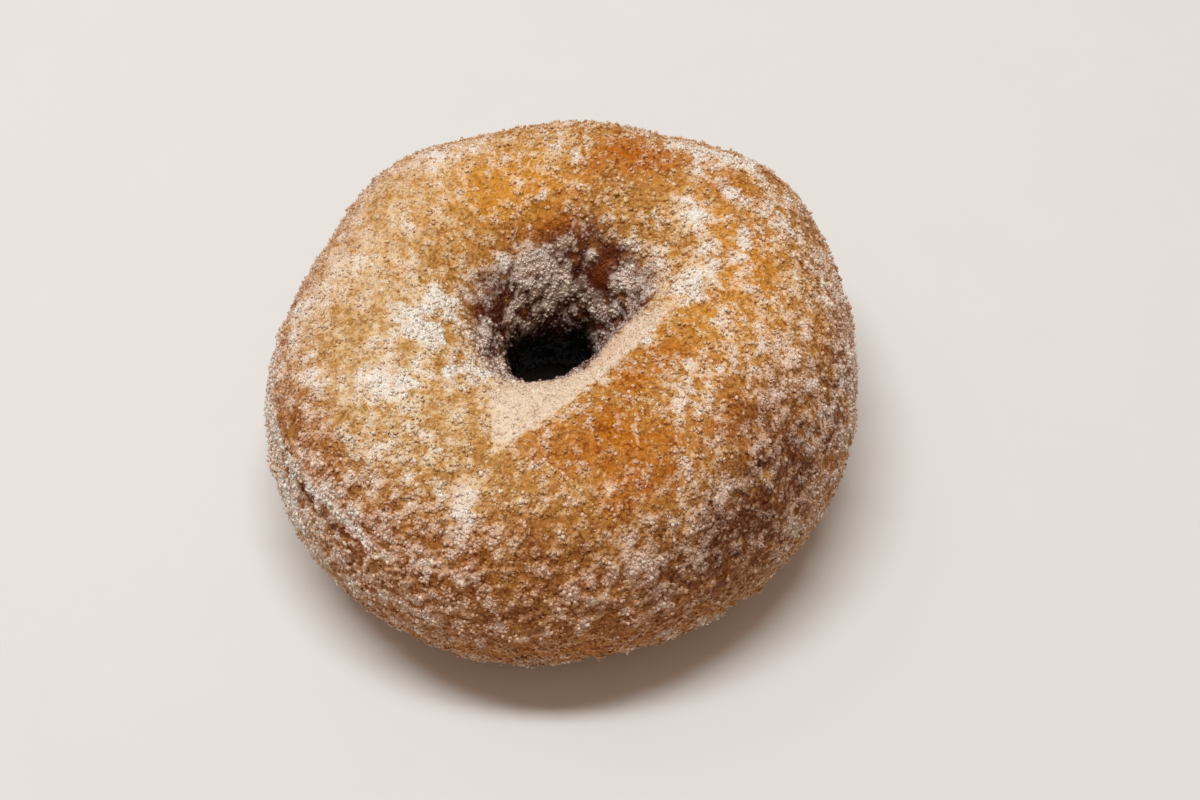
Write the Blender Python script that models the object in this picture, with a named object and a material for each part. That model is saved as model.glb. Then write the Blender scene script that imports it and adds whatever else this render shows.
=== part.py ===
# A plump ring doughnut rolled in sugar, as one solid, in metres.
# +Z is up, the origin is on the surface it rests on, under its middle, and -Y is the side nearest the viewer.
#
# A point of the dough is named by two angles. Its heading goes round the ring, 0 at +X and 90 at +Y.
# Its turn goes round the dough's section: 0 outermost, 90 on the crest, 180 in the hole, 270 underneath.
import math

import bpy
from mathutils import Vector

# Driving dimensions
OUTER_RADIUS = 0.0449
HEIGHT = 0.0375
BASE_FLATTENING = 0.0012

# Swells and dents fade out below this height, so the base stays flat and even
BASE_FADE = 0.006

# The hole leans and narrows. Its foot has the mouth's outline at a share of its size, further left,
# and the wall slides from the one to the other between two turns.
MOUTH_CENTRE = Vector((0.0008, 0.0040))
MOUTH_RADIUS = 0.0092
FOOT_CENTRE = Vector((-0.0028, 0.0030))
FOOT_SHARE = 0.5
MOUTH_TURN = 135
FOOT_TURN = 225

# The mouth's circle is cut straight on its near side and its near right side.
# Each cut is (heading it faces, distance from the mouth's centre), and a higher sharpness gives crisper corners.
MOUTH_CUTS = ((322, 0.0050), (262, 0.0096))
CORNER_SHARPNESS = 6

# 1 gives a round section, and less squares it off
SECTION_ROUNDNESS = 0.93

# Facets round the ring and round the section, and how much of the second are drawn up to the crest
RING_STEPS = 120
SECTION_STEPS = 48
CREST_SHARE = 0.3

# Lobes are (how many round the ring, height, heading of one of them in degrees)
OUTLINE_LOBES = ((2, 0.00135, 40), (3, 0.0003, 15), (4, 0.0007, 40), (5, 0.0004, 47))
MOUTH_LOBES = ((2, 0.0012, 45), (3, 0.0004, 15))
CREST_LOBES = ((1, 0.0005, 200), (2, 0.0005, 75), (3, 0.0003, 20))

# Swells and dents are (heading, turn, half-width round the ring, half-width round the section, height),
# the first four in degrees
SWELLS = (
    # round the outside and over the crest
    (252, 325, 16, 18, 0.0009),
    (42, 42, 10, 26, 0.0009),
    (66, 50, 8, 22, -0.0005),
    (86, 55, 10, 26, 0.0007),
    (132, 42, 14, 26, 0.0008),
    (112, 45, 9, 22, -0.0006),
    (18, 40, 12, 26, -0.0006),
    (344, 12, 14, 26, 0.0003),
    (150, 30, 8, 26, -0.0005),
    (185, 30, 14, 24, 0.0004),
    (300, 330, 20, 20, 0.0004),
    (215, 60, 26, 34, 0.0005),
    (300, 80, 24, 26, 0.0006),
    (338, 60, 10, 26, -0.0005),
    (160, 80, 12, 30, -0.0005),
    (248, 68, 6, 20, -0.0006),
    # a seam low on the left, and a short ledge on the far right, each a rise over a dip
    (207, 37, 16, 9, 0.0006),
    (207, 22, 16, 9, -0.0003),
    (48, 66, 8, 8, 0.0004),
    (48, 80, 8, 8, -0.0005),
    # a crease along the near right of the hole, with a smooth band inside it
    (268, 106, 14, 9, 0.0004),
    (298, 120, 18, 9, 0.0005),
    (340, 124, 26, 9, 0.0006),
    # the band's lip, the wall under the lip, and the near left corner of the hole
    (335, 146, 40, 10, 0.0014),
    (8, 168, 34, 13, -0.0020),
    (226, 150, 20, 22, -0.0012),
)

CRUST_COLOUR = (0.50, 0.24, 0.075, 1.0)
CRUST_ROUGHNESS = 0.6


def signed_power(value, exponent):
    return math.copysign(abs(value) ** exponent, value)


def lobes(heading, waves):
    return sum(height * math.cos(count * (heading - math.radians(crest))) for count, height, crest in waves)


def angle_between(a, b):
    """Smallest signed angle from b to a, in radians."""
    return math.remainder(a - b, math.tau)


def bell(distance, half_width):
    """1 at no distance, falling smoothly to about a third at half_width."""
    return math.exp(-((distance / half_width) ** 2))


def smooth_step(share):
    """0 up to 0, 1 from 1, and an even S between."""
    share = min(max(share, 0.0), 1.0)
    return share * share * (3 - 2 * share)


def relief(heading, turn):
    """Height of the swells and dents above the plain section."""
    total = 0.0
    for swell_heading, swell_turn, ring_width, section_width, height in SWELLS:
        along = angle_between(heading, math.radians(swell_heading))
        across = angle_between(turn, math.radians(swell_turn))
        total += height * bell(along, math.radians(ring_width)) * bell(across, math.radians(section_width))
    return total


def mouth_reach(heading):
    """Distance from the mouth's centre to its edge: the nearest of the circle and the cuts, with soft corners."""
    nearness = (MOUTH_RADIUS + lobes(heading, MOUTH_LOBES)) ** -CORNER_SHARPNESS
    for facing, distance in MOUTH_CUTS:
        nearness += (max(0.0, math.cos(heading - math.radians(facing))) / distance) ** CORNER_SHARPNESS
    return nearness ** (-1 / CORNER_SHARPNESS)


def hole_wall(heading, turn):
    """Where the wall of the hole would be at this turn, seen from above."""
    out = Vector((math.cos(heading), math.sin(heading)))
    reach = out * mouth_reach(heading)
    mouth = MOUTH_CENTRE + reach
    foot = FOOT_CENTRE + reach * FOOT_SHARE
    sunk = (math.degrees(turn) % 360 - MOUTH_TURN) / (FOOT_TURN - MOUTH_TURN)
    return mouth.lerp(foot, smooth_step(sunk))


def dough_point(heading, turn):
    """Where the dough's skin is, for a heading and a turn in radians."""
    out = Vector((math.cos(heading), math.sin(heading)))
    rim = out * (OUTER_RADIUS + lobes(heading, OUTLINE_LOBES))
    across = signed_power(math.cos(turn), SECTION_ROUNDNESS)
    above = signed_power(math.sin(turn), SECTION_ROUNDNESS)
    crest = HEIGHT + lobes(heading, CREST_LOBES) * max(0.0, above)
    half_height = (HEIGHT + BASE_FLATTENING) / 2
    plain_level = crest - half_height + half_height * above
    swell = relief(heading, turn) * smooth_step(plain_level / BASE_FADE)
    flat = hole_wall(heading, turn).lerp(rim, (1 + across) / 2) + out * swell * math.cos(turn)
    level = plain_level + swell * math.sin(turn)
    return Vector((flat.x, flat.y, max(level, 0.0)))


def crust_material():
    material = bpy.data.materials.new("crust")
    material.use_nodes = True
    shader = material.node_tree.nodes["Principled BSDF"]
    shader.inputs["Base Color"].default_value = CRUST_COLOUR
    shader.inputs["Roughness"].default_value = CRUST_ROUGHNESS
    shader.inputs["Metallic"].default_value = 0.0
    return material


def make_doughnut():
    """A torus whose vertices are moved onto the dough's skin, flat where it rests."""
    ring_radius, section_radius = 1.0, 0.25
    bpy.ops.mesh.primitive_torus_add(
        major_segments=RING_STEPS,
        minor_segments=SECTION_STEPS,
        major_radius=ring_radius,
        minor_radius=section_radius,
    )
    doughnut = bpy.context.object
    doughnut.name = "doughnut"
    doughnut.data.name = "doughnut"
    for vertex in doughnut.data.vertices:
        from_ring = vertex.co.xy.length - ring_radius
        heading = math.atan2(vertex.co.y, vertex.co.x)
        turn = math.atan2(vertex.co.z, from_ring)
        vertex.co = dough_point(heading, turn + CREST_SHARE * math.cos(turn))
    doughnut.data.shade_smooth()
    doughnut.data.materials.append(crust_material())
    return doughnut


def centre_over_origin(thing):
    """Slide it level, so that the middle of its box is over the origin."""
    for axis in (0, 1):
        places = [vertex.co[axis] for vertex in thing.data.vertices]
        middle = (min(places) + max(places)) / 2
        for vertex in thing.data.vertices:
            vertex.co[axis] -= middle


def main():
    for scene_object in list(bpy.data.objects):
        bpy.data.objects.remove(scene_object)
    centre_over_origin(make_doughnut())


main()
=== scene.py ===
import math

import bpy
import numpy as np
from mathutils import Matrix, Vector


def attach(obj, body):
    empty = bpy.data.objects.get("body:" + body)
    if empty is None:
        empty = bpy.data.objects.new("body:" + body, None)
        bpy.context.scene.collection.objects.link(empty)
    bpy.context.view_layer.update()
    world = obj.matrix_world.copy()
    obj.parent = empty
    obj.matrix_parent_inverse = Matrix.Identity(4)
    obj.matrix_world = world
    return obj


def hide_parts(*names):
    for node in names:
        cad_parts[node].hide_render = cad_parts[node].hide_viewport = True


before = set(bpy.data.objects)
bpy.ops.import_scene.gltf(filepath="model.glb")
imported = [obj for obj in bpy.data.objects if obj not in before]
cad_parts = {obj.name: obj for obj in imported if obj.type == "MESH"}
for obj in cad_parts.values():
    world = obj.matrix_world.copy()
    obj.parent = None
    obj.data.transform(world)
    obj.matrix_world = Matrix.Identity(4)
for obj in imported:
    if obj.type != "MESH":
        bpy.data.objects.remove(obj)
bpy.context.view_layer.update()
print("frame loaded")

# Lengths here are in millimetres unless a note says otherwise, and angles in degrees.
# A place on the dough is a heading round the ring (0 at +X, 90 at +Y)
# and a turn round its section (0 outermost, 90 on the crest, 180 in the hole, 270 underneath).
millimetre = 0.001  # in metres


def bell(distance, halfWidth):
    # 1 at no distance, about a third at halfWidth: e to the power of minus the square of their ratio
    return np.exp(-((distance / halfWidth) ** 2))


def smoothStep(share):
    # 0 up to 0, 1 from 1, an even S between: three times the square less twice the cube
    share = np.clip(share, 0.0, 1.0)
    return share * share * (3 - 2 * share)


def fromTo(low, high, value):
    # 0 at low, 1 at high, an even S between, and low may be the larger
    return smoothStep((value - low) / (high - low))


def between(low, high, share):
    # low at 0, high at 1, a straight line between
    return low + (high - low) * share


def angleGap(a, b):
    # smallest signed gap from b to a: their difference, wrapped into half a circle either way
    return (a - b + 180.0) % 360.0 - 180.0


def signedPower(value, exponent):
    # the power of the value's size, with the value's sign
    return np.sign(value) * np.abs(value) ** exponent


def unit(vectors):
    # each vector divided by its length
    return vectors / np.maximum(np.linalg.norm(vectors, axis=-1, keepdims=True), 1e-12)


def ripple(points, wavelength, seed, waves=36):
    # Even lumps of one size: a sum of plane waves in random directions, scaled to a spread of about 1.
    # Wavelengths vary by about a quarter either way, so no pattern repeats.
    draw = np.random.default_rng(seed)
    direction = unit(draw.normal(size=(waves, 3)))
    length = wavelength * draw.uniform(0.75, 1.3, size=waves)
    phase = draw.uniform(0, math.tau, size=waves)
    along = points.reshape(-1, 3) @ (direction * (math.tau / length[:, None])).T
    total = np.cos(along + phase).sum(axis=1) * math.sqrt(2.0 / waves)
    return total.reshape(points.shape[:-1])


def ripples(points, layers):
    # lumps of several sizes added up, each (wavelength, strength, seed)
    return sum(strength * ripple(points, wavelength, seed) for wavelength, strength, seed in layers)


def patches(heading, turn, named):
    # sum of bell-shaped patches, each (heading, turn, half-width round, half-width across, strength)
    total = np.zeros(np.broadcast(heading, turn).shape)
    for ringAt, sectionAt, ringWidth, sectionWidth, strength in named:
        total += (strength * bell(angleGap(heading, ringAt), ringWidth)
                  * bell(angleGap(turn, sectionAt), sectionWidth))
    return total


def mixed(first, second, share):
    # colours first and second blended: the first, and a share of the way to the second
    return between(np.asarray(first), np.asarray(second), np.clip(share, 0.0, 1.0)[..., None])


# The dough, with the same driving values as the solid it covers. A cut is (heading it faces, distance),
# a lobe is (how many round the ring, height, heading of one), and a swell is a patch with its height.
dough = {
    "outerRadius": 44.9,
    "height": 37.5,
    "baseFlattening": 1.2,
    "baseFade": 6.0,
    "mouthCentre": (0.8, 4.0),
    "mouthRadius": 9.2,
    "footCentre": (-2.8, 3.0),
    "footShare": 0.5,
    "mouthTurn": 135,
    "footTurn": 225,
    "mouthCuts": ((322, 5.0), (262, 9.6)),
    "cornerSharpness": 6,
    "roundness": 0.93,
    "outlineLobes": ((2, 1.35, 40), (3, 0.3, 15), (4, 0.7, 40), (5, 0.4, 47)),
    "mouthLobes": ((2, 1.2, 45), (3, 0.4, 15)),
    "crestLobes": ((1, 0.5, 200), (2, 0.5, 75), (3, 0.3, 20)),
    "swells": (
        # round the outside and over the crest
        (252, 325, 16, 18, 0.9),
        (42, 42, 10, 26, 0.9),
        (66, 50, 8, 22, -0.5),
        (86, 55, 10, 26, 0.7),
        (132, 42, 14, 26, 0.8),
        (112, 45, 9, 22, -0.6),
        (18, 40, 12, 26, -0.6),
        (344, 12, 14, 26, 0.3),
        (150, 30, 8, 26, -0.5),
        (185, 30, 14, 24, 0.4),
        (300, 330, 20, 20, 0.4),
        (215, 60, 26, 34, 0.5),
        (300, 80, 24, 26, 0.6),
        (338, 60, 10, 26, -0.5),
        (160, 80, 12, 30, -0.5),
        (248, 68, 6, 20, -0.6),
        # a seam low on the left, and a short ledge on the far right, each a rise over a dip
        (207, 37, 16, 9, 0.6),
        (207, 22, 16, 9, -0.3),
        (48, 66, 8, 8, 0.4),
        (48, 80, 8, 8, -0.5),
        # a crease along the near right of the hole, with a smooth band inside it
        (268, 106, 14, 9, 0.4),
        (298, 120, 18, 9, 0.5),
        (340, 124, 26, 9, 0.6),
        # the band's lip, the wall under the lip, and the near left corner of the hole
        (335, 146, 40, 10, 1.4),
        (8, 168, 34, 13, -2.0),
        (226, 150, 20, 22, -1.2),
    ),
}


def lobes(heading, waves):
    # waves round the ring: each one's height times a cosine with a crest at its heading, all added up
    return sum(height * np.cos(np.radians(count * (heading - crest))) for count, height, crest in waves)


def mouthReach(heading):
    # Distance from the mouth's centre to its edge: the nearest of a circle and straight cuts.
    # The distances are added as high negative powers, which leaves soft corners.
    sharpness = dough["cornerSharpness"]
    nearness = (dough["mouthRadius"] + lobes(heading, dough["mouthLobes"])) ** -sharpness
    for facing, distance in dough["mouthCuts"]:
        nearness = nearness + (np.maximum(0.0, np.cos(np.radians(heading - facing))) / distance) ** sharpness
    return nearness ** (-1.0 / sharpness)


def doughSkin(heading, turn):
    # The ring's section is a soft oval between the hole's wall and the rim.
    # The wall slides from the mouth's outline to the smaller foot's as the turn goes down the hole.
    # Swells and dents push the skin out or in along the section, and fade near the flat base.
    around = np.radians(heading)
    out = np.stack([np.cos(around), np.sin(around)], axis=-1)
    rim = out * (dough["outerRadius"] + lobes(heading, dough["outlineLobes"]))[..., None]
    reach = out * mouthReach(heading)[..., None]
    mouth = np.array(dough["mouthCentre"]) + reach
    foot = np.array(dough["footCentre"]) + reach * dough["footShare"]
    sunk = fromTo(dough["mouthTurn"], dough["footTurn"], turn % 360.0)[..., None]
    wall = mouth + (foot - mouth) * sunk
    cosTurn, sinTurn = np.cos(np.radians(turn)), np.sin(np.radians(turn))
    across = signedPower(cosTurn, dough["roundness"])
    above = signedPower(sinTurn, dough["roundness"])
    crest = dough["height"] + lobes(heading, dough["crestLobes"]) * np.maximum(0.0, above)
    half = (dough["height"] + dough["baseFlattening"]) / 2
    plainLevel = crest - half + half * above
    swell = patches(heading, turn, dough["swells"]) * smoothStep(plainLevel / dough["baseFade"])
    flat = wall + (rim - wall) * ((1 + across) / 2)[..., None] + out * (swell * cosTurn)[..., None]
    level = plainLevel + swell * sinTurn
    return np.concatenate([flat, level[..., None]], axis=-1)


def ringGrid(rings, steps, shift=0.0):
    # headings and turns of an even grid, moved on by a share of a cell
    heading = (np.arange(rings) + shift) * 360.0 / rings
    turn = (np.arange(steps) + shift) * 360.0 / steps
    return np.meshgrid(heading, turn, indexing="ij")


def boxMiddle(rings=240, steps=120):
    # middle of the dough's box seen from above, halfway between its ends, which the solid has over the origin
    coarse = doughSkin(*ringGrid(rings, steps))
    return (coarse.min(axis=(0, 1)) + coarse.max(axis=(0, 1))) / 2 * np.array([1.0, 1.0, 0.0])


middle = boxMiddle()


def centredSkin(heading, turn):
    # the dough's skin, with the middle of its box over the origin
    return doughSkin(heading, turn) - middle


def outward(heading, turn, step=0.25):
    # outward direction of the skin: its slope round the ring crossed with its slope round the section
    along = centredSkin(heading + step, turn) - centredSkin(heading - step, turn)
    across = centredSkin(heading, turn + step) - centredSkin(heading, turn - step)
    return unit(np.cross(along, across))


# The smooth band along the near right of the hole, between a crease and the hole's lip
band = {
    "headings": (215, 234, 244, 249, 255, 265, 277, 300, 325, 344, 363, 375),
    "crease": (132, 118, 100, 88, 94, 105, 116, 125, 128, 123, 116, 111),
    "lip": (146, 143, 142, 141, 140, 141, 142, 144, 144, 143, 144, 146),
    "starts": (216, 246),
    "ends": (372, 350),
    "creaseEdge": (-2.2, 2.2),
    "lipEdge": (-5.0, 4.0),
    "belowLip": (2.0, -4.0),
    "wander": ((2.6, 1.3, 61),),
    "step": 0.35,  # a rise on the crest's side of the crease, which drops at the crease
    "stepBefore": 7.0,
    "stepHalfWidth": 9.0,
    "stepEdge": (2.0, -2.0),
    "cover": 0.73,
    "coverPull": 0.85,  # how near the sugar on the band is to its own cover
    "evenness": 0.65,
}


def bandPlace(heading, turn):
    # How far the turn is past the crease, how far short of the lip, in degrees, and how strong the band is.
    # Crease and lip run straight from one named heading to the next.
    along = (heading - 180.0) % 360.0 + 180.0
    crease = np.interp(along, band["headings"], band["crease"])
    lip = np.interp(along, band["headings"], band["lip"])
    strength = fromTo(*band["starts"], along) * fromTo(*band["ends"], along)
    return turn % 360.0 - crease, lip - turn % 360.0, strength


def bandShare(heading, turn, points):
    # 1 on the band: an S over the crease, which is crisp, times one over the lip, which is softer
    past, short, strength = bandPlace(heading, turn)
    wander = ripples(points, band["wander"])
    return fromTo(*band["creaseEdge"], past + wander) * fromTo(*band["lipEdge"], short + wander) * strength


# The seam low on the left: a thin line of sugar over a line of dark spots, painted shadow under the seam
seam = {
    "headings": (188, 201, 208, 214, 221, 228, 238),
    "turns": (25, 27, 31, 34, 36, 34, 30),
    "starts": (188, 198),
    "ends": (238, 228),
    "halfWidth": 2.6,
    "shadowSpotsBelow": 6.5,
    "spotEdge": (-0.4, 0.6),
    "spotRipples": ((2.6, 1.0, 62),),
    "sugar": 0.55,
    "spots": 0.75,
}


def seamCover(heading, turn, points):
    # How much the seam adds to the cover, as a bell across its line, less what the spots below it take, as
    # a second bell, only where ripples make a spot. The spots are painted shadow under the seam.
    around = heading % 360.0
    above = turn - np.interp(around, seam["headings"], seam["turns"])
    strength = fromTo(*seam["starts"], around) * fromTo(*seam["ends"], around)
    spotty = fromTo(*seam["spotEdge"], ripples(points, seam["spotRipples"]))
    return strength * (seam["sugar"] * bell(above, seam["halfWidth"])
                       - seam["spots"] * spotty * bell(above + seam["shadowSpotsBelow"], seam["halfWidth"]))


# The hole, as turns: where its wall starts and ends, and for a few headings where, low down, it is painted
# black as shade
hole = {
    "wallStarts": (127.0, 149.0),
    "wallEnds": 275,
    "headings": (0, 36, 60, 84, 110, 135, 160, 190, 230, 290, 360),
    "blackStarts": (186, 182, 168, 174, 172, 168, 162, 154, 164, 178, 186),
    "blackDepth": 15.0,
    "blackEnds": 262,
}


def wallShare(turn):
    # 1 on the hole's wall, after an S over its lip
    return fromTo(*hole["wallStarts"], turn % 360) * (turn % 360 < hole["wallEnds"])


def paintedShadeShare(heading, turn):
    # 1 low in the hole, which is painted near black as shade, after an S down from where it starts
    start = np.interp(heading % 360, hole["headings"], hole["blackStarts"])
    return fromTo(start, start + hole["blackDepth"], turn % 360) * (turn % 360 < hole["blackEnds"])


# The cover of sugar, in named patches: where its edges are wild, where it lies thick, where the crust is
# bare, and where it is even rather than broken up into clumps and gaps. Then how white its clumps are, and
# where it is darkened as painted shade or warm. Ripples are (wavelength, strength, seed).
cover = {
    "usual": 0.46,
    "least": 0.02,
    "most": 1.1,
    "ragged": ((9.0, 0.07, 11), (4.6, 0.13, 12), (2.4, 0.12, 13)),
    "evenRagged": 0.30,  # how ragged it still is where it is even
    "wild": ((100, 146, 70, 18, 0.9), (196, 114, 26, 16, 0.9)),
    "thick": (
        (206, 81, 5, 9, 0.46),
        (212, 92, 5, 6, 0.28),
        (192, 108, 8, 10, 0.50),
        (177, 108, 6, 9, 0.45),
        (184, 119, 9, 9, 0.46),
        (168, 124, 7, 7, 0.30),
        (208, 108, 14, 10, 0.30),
        (224, 84, 8, 9, 0.24),
        (44, 101, 9, 8, 0.50),
        (30, 132, 12, 12, 0.22),
        (10, 110, 9, 10, 0.38),
        (248, 64, 2.8, 16, 0.60),
        (303, 67, 5, 8, 0.36),
        (303, 49, 7, 9, 0.32),
        (291, 76, 5, 5, 0.28),
        (57, 72, 10, 10, 0.45),
        (46, 62, 10, 9, 0.34),
        (350, 66, 12, 14, 0.26),
        (10, 86, 14, 9, 0.24),
        (32, 80, 8, 6, 0.26),
        (126, 64, 14, 10, 0.22),
        (168, 68, 10, 12, 0.20),
        (8, 50, 12, 10, 0.30),
        (186, 46, 14, 12, 0.18),
        (318, 92, 7, 8, 0.35),
        (291, 40, 7, 8, 0.26),
        (222, 42, 9, 7, 0.36),
        (186, 2, 26, 16, 0.30),
        (196, 20, 18, 9, 0.30),
        (244, 34, 6, 6, 0.25),
        (212, 4, 12, 12, 0.26),
        (319, 8, 8, 10, 0.25),
        (2, 18, 26, 12, 0.24),
        (118, 145, 18, 9, 0.80),
        (88, 108, 5, 12, 0.30),
        (54, 138, 6, 7, 0.35),
        (44, 148, 10, 8, 0.35),
        (94, 160, 14, 8, 0.32),
        (220, 132, 16, 14, 0.30),
    ),
    "bare": (
        (98, 108, 12, 12, 0.34),
        (126, 106, 10, 9, 0.28),
        (101, 124, 20, 8, 0.44),
        (112, 90, 16, 10, 0.16),
        (76, 98, 9, 14, 0.66),
        (66, 80, 10, 11, 0.54),
        (56, 104, 9, 14, 0.42),
        (100, 131, 9, 5, 0.45),
        (41, 70, 7, 7, 0.40),
        (345, 108, 9, 7, 0.50),
        (334, 110, 8, 6, 0.45),
        (8, 80, 11, 8, 0.36),
        (286, 93, 10, 11, 0.42),
        (301, 80, 8, 12, 0.42),
        (292, 67, 8, 12, 0.38),
        (272, 90, 8, 9, 0.20),
        (308, 105, 13, 12, 0.34),
        (142, 125, 9, 7, 0.32),
        (190, 74, 9, 8, 0.28),
        (256, 74, 6, 10, 0.32),
        (328, 76, 10, 10, 0.26),
        (311, 58, 4, 6, 0.30),
        (142, 67, 9, 10, 0.26),
        (150, 102, 10, 10, 0.22),
        (167, 112, 10, 9, 0.48),
        (271, 61, 10, 9, 0.40),
        (240, 22, 14, 8, 0.20),
        (260, 44, 8, 7, 0.34),
        (271, 23, 9, 6, 0.22),
        (246, 88, 9, 12, 0.30),
        (262, 90, 8, 8, 0.22),
        (205, 42, 9, 7, 0.34),
        (236, 38, 7, 6, 0.16),
        (356, 52, 10, 10, 0.28),
        (316, 30, 16, 14, 0.28),
        (276, 358, 14, 12, 0.30),
        # painted shade: less sugar low on the near right
        (306, 8, 10, 12, 0.32),
        (167, 149, 13, 9, 0.45),
        (82, 138, 7, 7, 0.55),
        (63, 150, 8, 9, 0.95),
    ),
    "broken": 0.85,
    "leastBroken": 0.06,
    "even": (
        (150, 62, 44, 44, 0.50),
        (195, 90, 26, 30, 0.10),
        (206, 84, 10, 12, 0.20),
        (232, 104, 16, 16, 0.20),
        (112, 142, 16, 7, 0.30),
        (70, 150, 60, 18, 0.30),
        (165, 142, 26, 16, 0.35),
        (247, 69, 4, 15, 0.40),
        (44, 101, 9, 8, 0.30),
    ),
    "clumps": ((2.2, 0.50, 43), (1.3, 0.55, 41), (0.8, 0.40, 42)),
    "clumpEdge": (-0.45, 0.45),
    "clumpPull": 3.2,  # how much thicker cover makes a clump likelier
    "gapWhite": 0.02,
    "clumpWhite": 0.33,
    "whiteCover": (0.38, 1.0),  # cover at which clumps start to whiten, and at which they are all white
    "white": (
        (232, 40, 16, 18, 0.08),
        (272, 350, 60, 18, -0.12),
        (288, 82, 18, 18, 0.12),
        (120, 148, 60, 14, 0.55),
        (215, 138, 30, 12, 0.20),
        # painted light thrown up from the sheet: this and the last entry whiten the sugar low on the left rim
        (190, 10, 30, 16, 0.35),
        (0, 20, 24, 12, 0.15),
        (225, 6, 26, 14, 0.15),
    ),
    "paintedShade": (
        # painted shade, low on the near right
        (314, 36, 32, 28, 0.26),
    ),
    "warm": (
        (276, 30, 38, 40, 0.90),
        (320, 50, 30, 34, 0.60),
        (0, 64, 24, 34, 0.55),
    ),
}


def sugarBed(heading, turn, points):
    # The share of the crust hidden by sugar: a usual share, named patches, ragged edges in three sizes and
    # the seam, drawn towards the band's own cover on the band. How broken up it is: a usual amount, less in
    # even patches and on the band. And whether this very place is a clump (1) or a gap (0): an S of fine
    # ripples, raised where the cover is thick.
    smooth = bandShare(heading, turn, points)
    broken = cover["broken"] - patches(heading, turn, cover["even"]) - band["evenness"] * smooth
    broken = np.clip(broken, cover["leastBroken"], 1.0)
    share = cover["usual"] + patches(heading, turn, cover["thick"]) - patches(heading, turn, cover["bare"])
    wild = between(cover["evenRagged"], 1.0, broken) * (1.0 + patches(heading, turn, cover["wild"]))
    share = share + wild * ripples(points, cover["ragged"]) + seamCover(heading, turn, points)
    share = between(share, band["cover"], band["coverPull"] * smooth)
    share = np.clip(share, cover["least"], cover["most"])
    lump = ripples(points, cover["clumps"]) + cover["clumpPull"] * (share - 0.5)
    return share, broken, fromTo(*cover["clumpEdge"], lump)


def paleness(heading, turn, share, broken, clump):
    # How white the sugar looks. Where it is even, it is as white as its cover. Where it is broken up, gaps
    # are hardly white, and clumps are whiter in named places and where the cover is thick. Low in the hole,
    # where shade is painted near black, nothing is white.
    white = cover["clumpWhite"] + patches(heading, turn, cover["white"])
    white = np.clip(between(white, 1.0, fromTo(*cover["whiteCover"], share)), 0.0, 1.0)
    pale = between(share, between(cover["gapWhite"], 1.0, white * clump), broken)
    return pale * (1.0 - paintedShadeShare(heading, turn))


# The crust's tones, and brighter copies that paint the light it throws back through a thin film of sugar
crustTones = {
    "golden": (0.53, 0.232, 0.046),
    "sand": (0.49, 0.265, 0.085),
    "honey": (0.66, 0.265, 0.016),
    "amber": (0.53, 0.168, 0.007),
    "orange": (0.50, 0.140, 0.006),
    "brown": (0.29, 0.088, 0.017),
    "umber": (0.120, 0.034, 0.010),
    "maroon": (0.090, 0.013, 0.004),
    "mahogany": (0.24, 0.055, 0.008),
    # painted shade: near black, low in the hole
    "paintedShadeBlack": (0.006, 0.003, 0.002),
}
# painted light: brighter copies of the crust's tones
paintedLightTones = {
    "golden": (0.82, 0.455, 0.115),
    "sand": (0.78, 0.495, 0.185),
    "honey": (0.86, 0.41, 0.045),
    "amber": (0.71, 0.275, 0.018),
    "orange": (0.70, 0.235, 0.018),
    "brown": (0.72, 0.29, 0.065),
    "umber": (0.40, 0.135, 0.040),
    "maroon": (0.28, 0.075, 0.030),
    "mahogany": (0.45, 0.13, 0.03),
    "paintedShadeBlack": (0.006, 0.003, 0.002),
}

# Where the crust differs from its usual golden tone, besides its browned sides and the hole
crustPlaces = {
    "sand": (
        (205, 88, 50, 36, 0.65),
    ),
    "honey": (
        (104, 108, 18, 14, 1.0),
        (122, 104, 16, 12, 0.8),
        (112, 88, 18, 12, 0.5),
        (30, 96, 22, 14, 0.4),
        (0, 90, 26, 18, 0.4),
        (345, 108, 12, 10, 0.7),
        (17, 79, 14, 12, 0.5),
    ),
    "amber": (
        (43, 79, 12, 10, 0.8),
        (332, 110, 10, 8, 0.8),
        (17, 79, 14, 12, 0.4),
        (284, 92, 12, 14, 1.0),
        (296, 82, 11, 12, 0.8),
        (308, 112, 16, 10, 0.8),
        (270, 92, 12, 12, 0.5),
    ),
    "orange": (
        (68, 78, 12, 15, 0.9),
        (78, 94, 9, 12, 0.6),
        (92, 116, 12, 9, 0.4),
        (100, 128, 30, 6, 0.7),
        (290, 68, 12, 10, 0.6),
        (322, 72, 14, 18, 0.5),
        (262, 92, 8, 10, 0.3),
        (208, 52, 14, 8, 0.4),
        (278, 356, 16, 14, 0.8),
        (248, 352, 16, 14, 0.5),
    ),
    "brown": (
        # the first, along the hole's far rim, is partly the crust's tone and partly painted shade
        (110, 132, 60, 6, 0.5),
        (262, 56, 20, 14, 0.35),
        (238, 44, 22, 20, 0.25),
        (330, 66, 22, 22, 0.4),
        (208, 44, 14, 8, 0.5),
    ),
    "umber": (
        # low on the near right, umber partly as the crust's tone and partly painted shade
        (345, 32, 18, 14, 0.6),
        (318, 42, 16, 20, 0.8),
        (334, 62, 14, 14, 0.5),
        (302, 32, 22, 16, 0.6),
        (188, 150, 34, 16, 0.5),
        # painted shadow under the seam
        (213, 27, 16, 4, 0.8),
        (308, 4, 18, 12, 0.3),
    ),
    "maroon": (
        # on the hole's rim, partly the crust's own tone and partly painted shade
        (80, 134, 9, 11, 0.8),
        (166, 135, 18, 9, 0.7),
    ),
    "mahogany": (
        (63, 151, 9, 10, 0.8),
        (84, 132, 8, 6, 0.5),
        (172, 134, 12, 8, 0.4),
    ),
}

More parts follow.
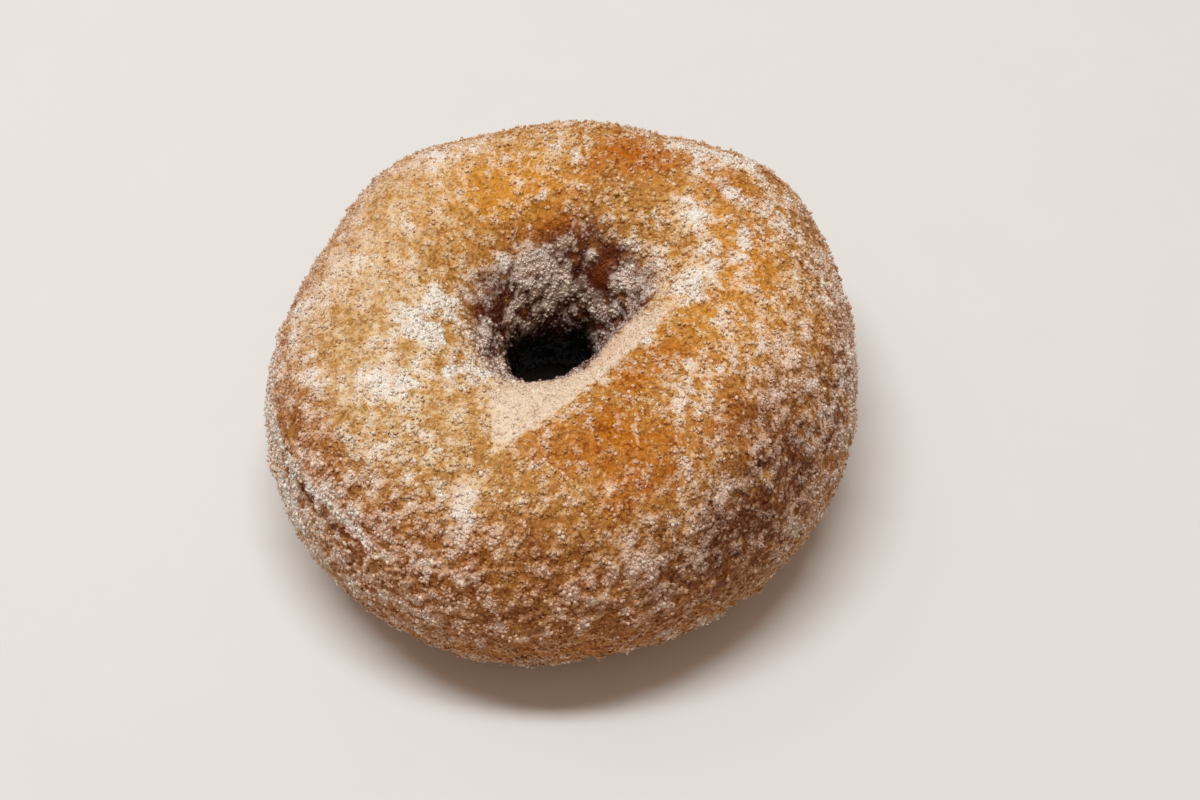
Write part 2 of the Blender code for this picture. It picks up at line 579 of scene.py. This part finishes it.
# How the crust browns: between two turns down the side, and in blotches. It browns less again between two
# turns near the base, which is painted light, and is maroon on the hole's wall, partly its own tone and
# partly painted shade
frying = {
    "sideTurns": (78, 26),
    "baseTurns": (16, -10),
    "paintedBaseLight": 0.5,
    "sideBrown": 0.8,
    "wallMaroonAndShade": 1.3,
    "blotches": ((7.0, 0.13, 21), (3.0, 0.16, 22)),
    "blotchPull": 1.2,
}


def crustColour(heading, turn, points, tones):
    # Golden, blended with each other tone in its named places. Brown also goes down the sides, and maroon
    # over the hole's wall, or below the band's lip, partly the crust's darker tone and partly painted shade.
    # Blotches vary every blend, and low in the hole all is painted near black as shade.
    plainTurn = 270.0 - (270.0 - turn) % 360.0  # the turn, from -90 to 270
    # painted light: less brown near the base, for light thrown up from the sheet
    fading = frying["paintedBaseLight"] * fromTo(*frying["baseTurns"], plainTurn)
    side = fromTo(*frying["sideTurns"], plainTurn) * (1.0 - fading)
    _, short, strength = bandPlace(heading, turn)
    belowLip = fromTo(*band["belowLip"], short) * (turn % 360 < hole["wallEnds"])
    wall = between(wallShare(turn), belowLip, strength)
    everywhere = {"brown": frying["sideBrown"] * side, "maroon": frying["wallMaroonAndShade"] * wall}
    blotch = 1.0 + frying["blotchPull"] * ripples(points, frying["blotches"])
    tone = tones["golden"]
    for name, named in crustPlaces.items():
        share = patches(heading, turn, named) + everywhere.get(name, 0.0)
        tone = mixed(tone, tones[name], share * blotch)
    return mixed(tone, tones["paintedShadeBlack"], paintedShadeShare(heading, turn))


# Painted light that comes back from the crust through the sugar, by height, and the sugar's own tones
sugarLight = {
    "heights": (1.0, 16.0),
    "wallLoss": 0.9,
    "tone": (0.97, 0.865, 0.775),
    "warmTone": (0.97, 0.73, 0.59),
    "wallWarmth": 0.6,
    "warmRipples": ((2.4, 0.15, 73),),
}


def litShare(turn, points):
    # how much painted light the crust throws back through the sugar: an S up the side, and little on the
    # hole's wall
    return fromTo(*sugarLight["heights"], points[..., 2]) * (1.0 - sugarLight["wallLoss"] * wallShare(turn))


def whiteTone(heading, turn, points):
    # the sugar's own tone, blended with a warmer one on the hole's wall, in named places and in some clumps
    warm = (sugarLight["wallWarmth"] * wallShare(turn) + patches(heading, turn, cover["warm"])
            + ripples(points, sugarLight["warmRipples"]))
    return mixed(sugarLight["tone"], sugarLight["warmTone"], warm)


# The crust: one closed skin with low lumps, and a film of sugar too fine for crystals in its colours
crust = {
    "ringSteps": 420,
    "sectionSteps": 232,
    "skinBelowSolid": 0.18,
    "lumps": ((5.5, 0.10, 31), (2.4, 0.06, 32), (1.3, 0.035, 33)),
    "bedHeight": 0.22,
    "bedCover": (0.2, 1.0),  # cover at which even sugar starts to stand up, and at which it is a full bed
    # the film's brightening below is painted light
    "filmGlow": 0.5,  # how far the film is brightened where it isn't white, and at most
    "mostGlow": 0.85,
    "filmWhite": 0.9,
    "evenSpared": 0.6,  # how far the mottling spares even sugar, and then two of the tones
    "tonesSpared": {"honey": 0.25, "sand": 0.5},
    "mostSpared": 0.8,
}


def crustSkin(heading, turn):
    # The dough's skin moved along its outward direction: in by a little, out by low lumps, by a bed of fine
    # sugar where that is thick or clumped, and by the step along the crease. It stops at the floor.
    points = centredSkin(heading, turn)
    share, broken, clump = sugarBed(heading, turn, points)
    bed = between(fromTo(*crust["bedCover"], share), clump, broken)
    past, _, strength = bandPlace(heading, turn)
    step = strength * bell(past + band["stepBefore"], band["stepHalfWidth"]) * fromTo(*band["stepEdge"], past)
    rise = (ripples(points, crust["lumps"]) - crust["skinBelowSolid"]
            + crust["bedHeight"] * bed + band["step"] * step)
    points = points + outward(heading, turn) * rise[..., None]
    points[..., 2] = np.maximum(points[..., 2], 0.0)
    return points


def meshFrom(name, points, corners, sides):
    # points in millimetres, the point that each face corner uses, and how many corners each face has
    mesh = bpy.data.meshes.new(name)
    mesh.vertices.add(len(points))
    mesh.vertices.foreach_set("co", (points * millimetre).astype(np.float32).ravel())
    mesh.loops.add(corners.size)
    mesh.loops.foreach_set("vertex_index", corners.astype(np.int32).ravel())
    mesh.polygons.add(len(sides))
    mesh.polygons.foreach_set("loop_start", (np.cumsum(sides) - sides).astype(np.int32))
    mesh.update(calc_edges=True)
    mesh.validate()
    piece = bpy.data.objects.new(name, mesh)
    bpy.context.scene.collection.objects.link(piece)
    return piece


def gridMesh(name, points):
    # closes a grid of points on itself both ways, as quads that face outwards
    rings, steps = points.shape[:2]
    index = np.arange(rings * steps).reshape(rings, steps)
    nextRing = np.roll(index, -1, axis=0)
    quads = np.stack([index, nextRing, np.roll(nextRing, -1, axis=1), np.roll(index, -1, axis=1)], axis=-1)
    return meshFrom(name, points.reshape(-1, 3), quads, np.full(rings * steps, 4))


def addColour(piece, name, colour, domain="POINT"):
    # one colour a vertex or a face corner, kept as floats
    colour = colour.reshape(-1, 3)
    opaque = np.ones((len(colour), 4), dtype=np.float32)
    opaque[:, :3] = colour
    attribute = piece.data.color_attributes.new(name=name, type="FLOAT_COLOR", domain=domain)
    attribute.data.foreach_set("color", opaque.ravel())


def addValue(piece, name, value):
    # one number a vertex
    attribute = piece.data.attributes.new(name=name, type="FLOAT", domain="POINT")
    attribute.data.foreach_set("value", value.astype(np.float32).ravel())


def setSockets(made, values):
    # constant values, on a node's own sockets
    for name, value in values.items():
        made.inputs[name].default_value = value


def node(tree, kind, values=None):
    # a new node, with constant values on its sockets
    made = tree.nodes.new(kind)
    setSockets(made, values or {})
    return made


def attributeNode(tree, name):
    # reads a colour or a number that is kept on the mesh
    made = node(tree, "ShaderNodeAttribute")
    made.attribute_name = name
    return made


def mixNode(tree, blend):
    # blends or multiplies two colours
    made = node(tree, "ShaderNodeMix")
    made.data_type = "RGBA"
    made.blend_type = blend
    return made


def newMaterial(name):
    # a material, its node tree and its shader
    material = bpy.data.materials.new(name)
    material.use_nodes = True
    return material, material.node_tree, material.node_tree.nodes["Principled BSDF"]


def makeMottling():
    # The group that both materials use: noise is stretched from low to high into a share from 0 to 1, and the
    # colour is multiplied, as far as the amount says, by a tint that goes from dark to white with that share.
    group = bpy.data.node_groups.new("mottling", "ShaderNodeTree")
    sockets = {"Colour": "Color", "Vector": "Vector", "Dark": "Color", "Amount": "Float", "Scale": "Float",
               "Detail": "Float", "Roughness": "Float", "Low": "Float", "High": "Float"}
    for name, kind in sockets.items():
        group.interface.new_socket(name=name, in_out="INPUT", socket_type="NodeSocket" + kind)
    group.interface.new_socket(name="Colour", in_out="OUTPUT", socket_type="NodeSocketColor")
    given = node(group, "NodeGroupInput")
    result = node(group, "NodeGroupOutput")
    noise = node(group, "ShaderNodeTexNoise")
    share = node(group, "ShaderNodeMapRange")
    tint = mixNode(group, "MIX")
    tint.inputs["B"].default_value = (1.0, 1.0, 1.0, 1.0)
    darkened = mixNode(group, "MULTIPLY")
    links = group.links
    for name in ("Vector", "Scale", "Detail", "Roughness"):
        links.new(given.outputs[name], noise.inputs[name])
    links.new(noise.outputs["Fac"], share.inputs["Value"])
    links.new(given.outputs["Low"], share.inputs["From Min"])
    links.new(given.outputs["High"], share.inputs["From Max"])
    links.new(share.outputs["Result"], tint.inputs["Factor"])
    links.new(given.outputs["Dark"], tint.inputs["A"])
    links.new(given.outputs["Amount"], darkened.inputs["Factor"])
    links.new(given.outputs["Colour"], darkened.inputs["A"])
    links.new(tint.outputs["Result"], darkened.inputs["B"])
    links.new(darkened.outputs["Result"], result.inputs["Colour"])
    return group


mottling = makeMottling()


def mottled(tree, place, colour, values):
    # the mottling group in a material, with its own values, on a colour from another node
    made = node(tree, "ShaderNodeGroup")
    made.node_tree = mottling
    setSockets(made, values)
    tree.links.new(place.outputs["Object"], made.inputs["Vector"])
    tree.links.new(colour.outputs["Color"], made.inputs["Colour"])
    return made


# The crust's finish: blotches, speckles of the finest sugar, and a soft sheen with some light in the crumb
crustFinish = {
    "mottling": {"Scale": 800.0, "Detail": 2.6, "Roughness": 0.78, "Low": 0.39, "High": 0.57,
                 "Dark": (0.46, 0.30, 0.18, 1.0)},
    "fineGrain": {"Scale": 1900.0, "Detail": 3.0, "Roughness": 0.6},
    "filmLift": 0.62,
    "speckles": {"From Min": 0.43, "From Max": 0.76},
    "bump": {"Strength": 0.7, "Distance": 0.00016},
    "surface": {"Roughness": 0.5, "Specular IOR Level": 0.08, "Subsurface Weight": 0.35,
                "Subsurface Radius": (1.0, 0.5, 0.25), "Subsurface Scale": 0.0009},
}


def makeCrustMaterial():
    # The crust's tone is mottled, and the film's tone covers it where fine noise, raised by how white the
    # film is, passes the speckles' marks. The same noise roughens it.
    material, tree, shader = newMaterial("friedCrust")
    links = tree.links
    tone = attributeNode(tree, "crustTone")
    film = attributeNode(tree, "sugarFilm")
    filmTone = attributeNode(tree, "filmTone")
    browning = attributeNode(tree, "browning")
    place = node(tree, "ShaderNodeTexCoord")
    fine = node(tree, "ShaderNodeTexNoise", crustFinish["fineGrain"])
    links.new(place.outputs["Object"], fine.inputs["Vector"])
    browned = mottled(tree, place, tone, crustFinish["mottling"])
    links.new(browning.outputs["Fac"], browned.inputs["Amount"])
    raised = node(tree, "ShaderNodeMath")
    raised.operation = "MULTIPLY_ADD"
    raised.inputs[1].default_value = crustFinish["filmLift"]
    links.new(film.outputs["Fac"], raised.inputs[0])
    links.new(fine.outputs["Fac"], raised.inputs[2])
    speckles = node(tree, "ShaderNodeMapRange", crustFinish["speckles"])
    speckles.interpolation_type = "SMOOTHSTEP"
    links.new(raised.outputs[0], speckles.inputs["Value"])
    paled = mixNode(tree, "MIX")
    links.new(speckles.outputs["Result"], paled.inputs["Factor"])
    links.new(browned.outputs["Colour"], paled.inputs["A"])
    links.new(filmTone.outputs["Color"], paled.inputs["B"])
    links.new(paled.outputs["Result"], shader.inputs["Base Color"])
    bump = node(tree, "ShaderNodeBump", crustFinish["bump"])
    links.new(fine.outputs["Fac"], bump.inputs["Height"])
    links.new(bump.outputs["Normal"], shader.inputs["Normal"])
    setSockets(shader, crustFinish["surface"])
    return material


def makeCrust():
    # The skin on an even grid. Each point keeps the crust's tone, how white the film of sugar is, the film's
    # tone (the crust's, brightened with painted light and then whitened), and how far the crust is mottled.
    heading, turn = ringGrid(crust["ringSteps"], crust["sectionSteps"])
    points = crustSkin(heading, turn)
    piece = gridMesh("crust", points)
    piece.data.shade_smooth()
    tone = crustColour(heading, turn, points, crustTones)
    glow = crustColour(heading, turn, points, paintedLightTones)
    pale = paleness(heading, turn, *sugarBed(heading, turn, points))
    lit = np.clip(crust["filmGlow"] + pale, 0.0, crust["mostGlow"]) * litShare(turn, points)
    film = mixed(mixed(tone, glow, lit), whiteTone(heading, turn, points), crust["filmWhite"] * pale)
    spared = crust["evenSpared"] * patches(heading, turn, cover["even"])
    for name, share in crust["tonesSpared"].items():
        spared = spared + share * patches(heading, turn, crustPlaces[name])
    addColour(piece, "crustTone", tone)
    addColour(piece, "filmTone", film)
    addValue(piece, "sugarFilm", np.clip(pale, 0.0, 1.0))
    addValue(piece, "browning", 1.0 - np.clip(spared, 0.0, crust["mostSpared"]))
    piece.data.materials.append(makeCrustMaterial())
    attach(piece, "root")
    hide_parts("doughnut")


makeCrust()
print("crust made")

# The sugar: crystals of three grades, each a real little block or wedge
sugar = {
    "seed": 7,
    "count": 106000,
    "most": 16000,  # in one piece
    "cells": (720, 360),
    "evenCrowd": (0.28, 1.0),  # how crowded even sugar is, at no cover and at full cover
    "brokenCrowd": (0.14, 0.16, 0.70),  # and broken sugar: anywhere, more with its cover, and more in a clump
    "unseenHeights": (1.5, 0.2),  # above the floor, where crystals start to thin out and are fewest
    "unseenLoss": 0.85,
    # a grade is (shape, share of the crystals, smallest, largest)
    "grades": {
        "coarseSugar": ("block", 0.08, 0.52, 0.70),
        "mediumSugar": ("block", 0.26, 0.42, 0.56),
        "fineSugar": ("wedge", 0.66, 0.32, 0.48),
    },
    "evenFineness": 1.6,  # above 1 there are fewer large ones where the sugar is even
    "sides": ((0.90, 0.72, 0.55), (1.15, 1.0, 0.80)),  # least and most of each side, to the crystal's size
    "nudge": (0.76, 1.14),
    "tilt": 26,
    "tiltSpread": 0.7,
    "lift": (-0.46, 0.08),  # to the crystal's height
    "evenSunk": 0.16,
    "aboveFloor": 0.02,
    "perched": 0.14,  # share of those in clumps that lie on others
    "perchedLift": (0.18, 0.50),
    "evenPerched": 0.25,
    "evenVary": 0.35,  # how much even sugar varies in tint, to broken sugar
    "whiteSpread": 0.13,
    "shadeSpread": 0.06,
    "facetGlintSpread": 0.04,
    # painted light: the crust brightened behind crystals, and painted on their feet as if seen through them
    "lit": 0.75,  # how far the crust is brightened behind a crystal in a clump
    "gapLit": 0.35,  # and in a gap, to that
    "throughShow": 0.80,  # how far the crust shows through a foot that isn't white
    "throughLit": 0.5,
    "throughLoss": 0.85,  # and how much less through a white one
    # painted shade: how much darker crystals are low in the hole
    "paintedShadeLoss": 0.9,
    "brightest": 0.97,
    "brightestFacet": 0.98,
    "mottling": {"Scale": 3400.0, "Detail": 2.0, "Roughness": 0.5, "Low": 0.30, "High": 0.60,
                 "Dark": (0.70, 0.66, 0.62, 1.0), "Amount": 0.3},
    "surface": {"Roughness": 0.38, "Specular IOR Level": 0.2},
}


def makeSugarMaterial():
    # crystals: a tint from the mesh with a little cloud in it, and glossy faces
    material, tree, shader = newMaterial("sugarCrystal")
    tint = attributeNode(tree, "sugarTint")
    place = node(tree, "ShaderNodeTexCoord")
    clouded = mottled(tree, place, tint, sugar["mottling"])
    tree.links.new(clouded.outputs["Colour"], shader.inputs["Base Color"])
    setSockets(shader, sugar["surface"])
    return material


sugarMaterial = makeSugarMaterial()


def foldedOrder(rings, steps):
    # An order that walks a grid in nested squares, so that neighbours in the walk are neighbours on the grid:
    # cells are sorted by a number whose binary digits are taken in turn from their ring and their step.
    ring, step = np.meshgrid(np.arange(rings), np.arange(steps), indexing="ij")
    key = np.zeros(ring.shape, dtype=np.int64)
    for bit in range(max(rings, steps).bit_length()):
        key |= (((ring >> bit) & 1) << (2 * bit + 1)) | (((step >> bit) & 1) << (2 * bit))
    return np.argsort(key.ravel())


def scatter(draw):
    # Each small cell of the crust expects a share of a crystal: its area, times how crowded its sugar is,
    # with few near the floor and low in the hole. The cells are walked in a folded order, and a crystal is
    # laid somewhere in the cell each time the running sum passes a whole number.
    rings, steps = sugar["cells"]
    heading, turn = ringGrid(rings, steps, 0.5)
    points = centredSkin(heading, turn)
    along = np.roll(points, -1, axis=0) - points
    across = np.roll(points, -1, axis=1) - points
    area = np.linalg.norm(np.cross(along, across), axis=-1)
    share, broken, clump = sugarBed(heading, turn, points)
    anywhere, byCover, byClump = sugar["brokenCrowd"]
    crowd = between(between(*sugar["evenCrowd"], share), anywhere + byCover * share + byClump * clump, broken)
    unseen = fromTo(*sugar["unseenHeights"], points[..., 2]) + paintedShadeShare(heading, turn)
    expected = (area * crowd * np.clip(1.0 - sugar["unseenLoss"] * unseen, 0.0, 1.0)).ravel()
    order = foldedOrder(rings, steps)
    running = np.cumsum(expected[order]) * sugar["count"] / expected.sum()
    laid = np.diff(np.floor(running), prepend=0).astype(int)
    cell = np.repeat(order, laid)
    spread = draw.uniform(-0.5, 0.5, size=(2, len(cell)))
    return (heading.ravel()[cell] + spread[0] * 360.0 / rings,
            turn.ravel()[cell] + spread[1] * 360.0 / steps)


# A shape is its points, its faces, and how much of the top's tint each face corner has:
# none underneath, and more towards the top. The foot's tint paints the crust as if seen through the crystal.
shapes = {
    "block": (
        ((-.5, -.5, -.5), (.5, -.5, -.5), (-.5, .5, -.5), (.5, .5, -.5),
         (-.5, -.5, .5), (.5, -.5, .5), (-.5, .5, .5), (.5, .5, .5)),
        ((0, 2, 3, 1), (4, 5, 7, 6), (0, 1, 5, 4), (3, 2, 6, 7), (2, 0, 4, 6), (1, 3, 7, 5)),
        ((0, 0, 0, 0), (1, 1, 1, 1), (.3, .3, .8, .8), (.3, .3, .8, .8), (.3, .3, .8, .8), (.3, .3, .8, .8)),
    ),
    "wedge": (
        ((-.5, -.5, -.4), (.5, -.5, -.4), (-.5, .5, -.4), (.5, .5, -.4), (-.4, -.1, .6), (.4, .1, .6)),
        ((0, 2, 3, 1), (0, 1, 5, 4), (3, 2, 4, 5), (2, 0, 4), (1, 3, 5)),
        ((0, 0, 0, 0), (.6, .6, 1, 1), (.6, .6, 1, 1), (.3, .3, .8), (.3, .3, .8)),
    ),
}


def crystals(name, shape, centres, upward, sizes, topTint, footTint, draw):
    # Each crystal is its shape stretched to three unequal sides with its points nudged, spun about its upward
    # direction and tipped by a random angle. Its tint runs from the foot's, where the crust is painted as if
    # seen through it, to the top's, and each facet has a little more or less of it, as painted glints.
    count = len(centres)
    points, faces, topShares = shapes[shape]
    nudge = draw.uniform(*sugar["nudge"], size=(count, len(points), 3))
    corners = np.array(points) * sizes[:, None] * nudge
    tip = np.tan(np.radians(sugar["tilt"])) * draw.normal(size=(count, 3)) * sugar["tiltSpread"]
    tipped = unit(upward + tip)
    sideways = unit(np.cross(tipped, draw.normal(size=(count, 3))))
    third = np.cross(tipped, sideways)
    turned = (corners[..., 0:1] * sideways[:, None] + corners[..., 1:2] * third[:, None]
              + corners[..., 2:3] * tipped[:, None])
    placed = (centres[:, None] + turned).reshape(-1, 3)
    placed[:, 2] = np.maximum(placed[:, 2], sugar["aboveFloor"])
    sides = np.array([len(face) for face in faces])
    used = np.concatenate(faces) + len(points) * np.arange(count)[:, None]
    piece = meshFrom(name, placed, used, np.tile(sides, count))
    # painted glints: each facet a little lighter or darker at random
    facet = np.repeat(np.exp(sugar["facetGlintSpread"] * draw.normal(size=(count, len(faces)))), sides, axis=1)
    tint = between(footTint[:, None], topTint[:, None], np.concatenate(topShares)[:, None])
    addColour(piece, "sugarTint", np.clip(tint * facet[..., None], 0.0, sugar["brightestFacet"]), "CORNER")
    piece.data.materials.append(sugarMaterial)
    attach(piece, "root")
    print(name, count)


def makeGrade(name, shape, lengths, grains, draw):
    # A grade's crystals have a random size, with sides in random shares of it. Each is sunk in the skin by a
    # random part of its height, deeper where the sugar is even, or stands on others. A large grade is laid in
    # batches, one piece each.
    count = len(grains["skin"])
    sizes = draw.uniform(*lengths, size=(count, 1)) * draw.uniform(*sugar["sides"], size=(count, 3))
    sunk = sugar["evenSunk"] * (1.0 - grains["clumped"][:, None])
    lift = sizes[:, 2:] * (draw.uniform(*sugar["lift"], size=(count, 1)) - sunk) + grains["perch"][:, None]
    centres = grains["skin"] + grains["upward"] * lift
    batches = math.ceil(count / sugar["most"])
    for batch, rows in enumerate(np.array_split(np.arange(count), batches)):
        suffix = chr(ord("A") + batch) if batches > 1 else ""
        crystals(name + suffix, shape, centres[rows], grains["upward"][rows], sizes[rows],
                 grains["topTint"][rows], grains["footTint"][rows], draw)


def crystalTints(heading, turn, points, clump, pale, vary):
    # A crystal's top is the crust's tone, brightened with painted light most in clumps, blended with white by
    # how pale it is, and then darkened: painted shade low in the hole and in a patch low on the near right,
    # and a little at random. Its foot is the top's tint, blended with the crust's tone as painted see-through
    # light, less where it is pale.
    tone = crustColour(heading, turn, points, crustTones)
    glow = crustColour(heading, turn, points, paintedLightTones)
    glowing = between(sugar["gapLit"] * (1.0 + vary), 1.0, clump)
    lit = mixed(tone, glow, sugar["lit"] * litShare(turn, points) * glowing)
    # painted shade: crystals near black low in the hole, and dimmer in a patch low on the near right
    shade = 1.0 - sugar["paintedShadeLoss"] * paintedShadeShare(heading, turn)
    shade = shade * (1.0 - patches(heading, turn, cover["paintedShade"])) * np.exp(sugar["shadeSpread"] * vary)
    top = mixed(lit, whiteTone(heading, turn, points), pale) * shade[:, None]
    top = np.clip(top, 0.0, sugar["brightest"])
    through = sugar["throughShow"] * (1.0 - sugar["throughLoss"] * pale)
    return top, mixed(top, mixed(tone, lit, sugar["throughLit"]), through)


def makeSugar():
    # Lays all the crystals, each as pale as the sugar round it, give or take, and perches some of those in
    # clumps on others. A random number deals them into grades, finer ones where the sugar is even.
    draw = np.random.default_rng(sugar["seed"])
    heading, turn = scatter(draw)
    count = len(heading)
    points = centredSkin(heading, turn)
    share, broken, clump = sugarBed(heading, turn, points)
    vary = draw.normal(size=count) * between(sugar["evenVary"], 1.0, broken)
    pale = paleness(heading, turn, share, broken, clump) + sugar["whiteSpread"] * vary
    pale = np.clip(pale, cover["gapWhite"], 1.0)
    topTint, footTint = crystalTints(heading, turn, points, clump, pale, vary)
    perched = (draw.uniform(size=count) < sugar["perched"]) * (clump > 0.5)
    perch = perched * draw.uniform(*sugar["perchedLift"], size=count)
    anyGrade = draw.uniform(size=count)
    finerGrade = 1.0 - draw.uniform(size=count) ** sugar["evenFineness"]
    pick = between(finerGrade, anyGrade, broken)
    grains = {
        "skin": crustSkin(heading, turn),
        "upward": outward(heading, turn),
        "clumped": broken * clump,
        "perch": perch * between(sugar["evenPerched"], 1.0, broken),
        "topTint": topTint,
        "footTint": footTint,
    }
    low = 0.0
    for name, (shape, part, smallest, largest) in sugar["grades"].items():
        chosen = (pick >= low) & (pick < low + part)
        low += part
        graded = {key: value[chosen] for key, value in grains.items()}
        makeGrade(name, shape, (smallest, largest), graded, draw)


makeSugar()
print("sugar made")

# The plain sheet it stands on, and a studio's soft light, with lengths in metres
stage = {
    "floorSize": 3.0,
    "floorColour": (0.80, 0.775, 0.755),
    "cloud": {"Scale": 60.0, "Detail": 5.0, "Roughness": 0.6},
    "cloudShade": 0.97,
    "floorSurface": {"Roughness": 0.9},
    # a lamp is (place, size, power, colour)
    "lamps": {
        "overhead": ((-0.11, 0.10, 1.10), (0.75, 0.15), 9.9, (0.91, 0.973, 1.0)),
        "window": ((-0.55, 0.35, 0.85), (0.35, 0.35), 0.6, (0.92, 0.98, 1.0)),
    },
    "sky": {"Color": (1.0, 0.75, 0.574, 1.0), "Strength": 0.296},
}


def makeFloor():
    # one level square, with the faintest cloud in its colour
    half = stage["floorSize"] / 2 / millimetre
    corners = np.array([[-half, -half, 0], [half, -half, 0], [half, half, 0], [-half, half, 0]])
    piece = meshFrom("floor", corners, np.arange(4), np.array([4]))
    material, tree, shader = newMaterial("paleSheet")
    place = node(tree, "ShaderNodeTexCoord")
    cloud = node(tree, "ShaderNodeTexNoise", stage["cloud"])
    tree.links.new(place.outputs["Object"], cloud.inputs["Vector"])
    ramp = node(tree, "ShaderNodeValToRGB")
    light = np.array(stage["floorColour"])
    ramp.color_ramp.elements[0].color = (*(light * stage["cloudShade"]), 1)
    ramp.color_ramp.elements[1].color = (*light, 1)
    tree.links.new(cloud.outputs["Fac"], ramp.inputs["Fac"])
    tree.links.new(ramp.outputs["Color"], shader.inputs["Base Color"])
    setSockets(shader, stage["floorSurface"])
    piece.data.materials.append(material)


def makeLights():
    # each panel faces the origin, with its first side level and along X
    for name, (place, size, power, colour) in stage["lamps"].items():
        glow = bpy.data.lights.new(name, "AREA")
        glow.shape = "RECTANGLE"
        glow.size, glow.size_y = size
        glow.energy = power
        glow.color = colour
        stand = bpy.data.objects.new(name, glow)
        back = Vector(place).normalized()
        up = back.cross(Vector((1, 0, 0))).normalized()
        stand.location = place
        stand.rotation_euler = Matrix((up.cross(back), up, back)).transposed().to_euler()
        bpy.context.scene.collection.objects.link(stand)
    world = bpy.data.worlds.new("studio")
    world.use_nodes = True
    setSockets(world.node_tree.nodes["Background"], stage["sky"])
    bpy.context.scene.world = world


# The picture's own view: how high it looks from, how far off, and what it is aimed at, in metres,
# with the lens and the sensor's width in millimetres
camera = {
    "aim": (0.0055, -0.0031, 0.019),
    "elevation": 58.0,
    "distance": 0.320,
    "nearest": 0.01,
    "lens": 62.88,
    "sensorWidth": 36,
}


def makeCamera():
    # stands back from the aim point along a line that rises at the elevation, and looks along it
    rise = math.radians(camera["elevation"])
    back = Vector((0, -math.cos(rise), math.sin(rise)))
    lens = bpy.data.cameras.new("camera")
    lens.lens = camera["lens"]
    lens.sensor_width = camera["sensorWidth"]
    lens.clip_start = camera["nearest"]
    eye = bpy.data.objects.new("camera", lens)
    eye.location = Vector(camera["aim"]) + back * camera["distance"]
    eye.rotation_euler = (-back).to_track_quat("-Z", "Y").to_euler()
    bpy.context.scene.collection.objects.link(eye)
    bpy.context.scene.camera = eye


makeFloor()
makeLights()
makeCamera()
bpy.context.scene.view_settings.view_transform = "Standard"
print("stage set")
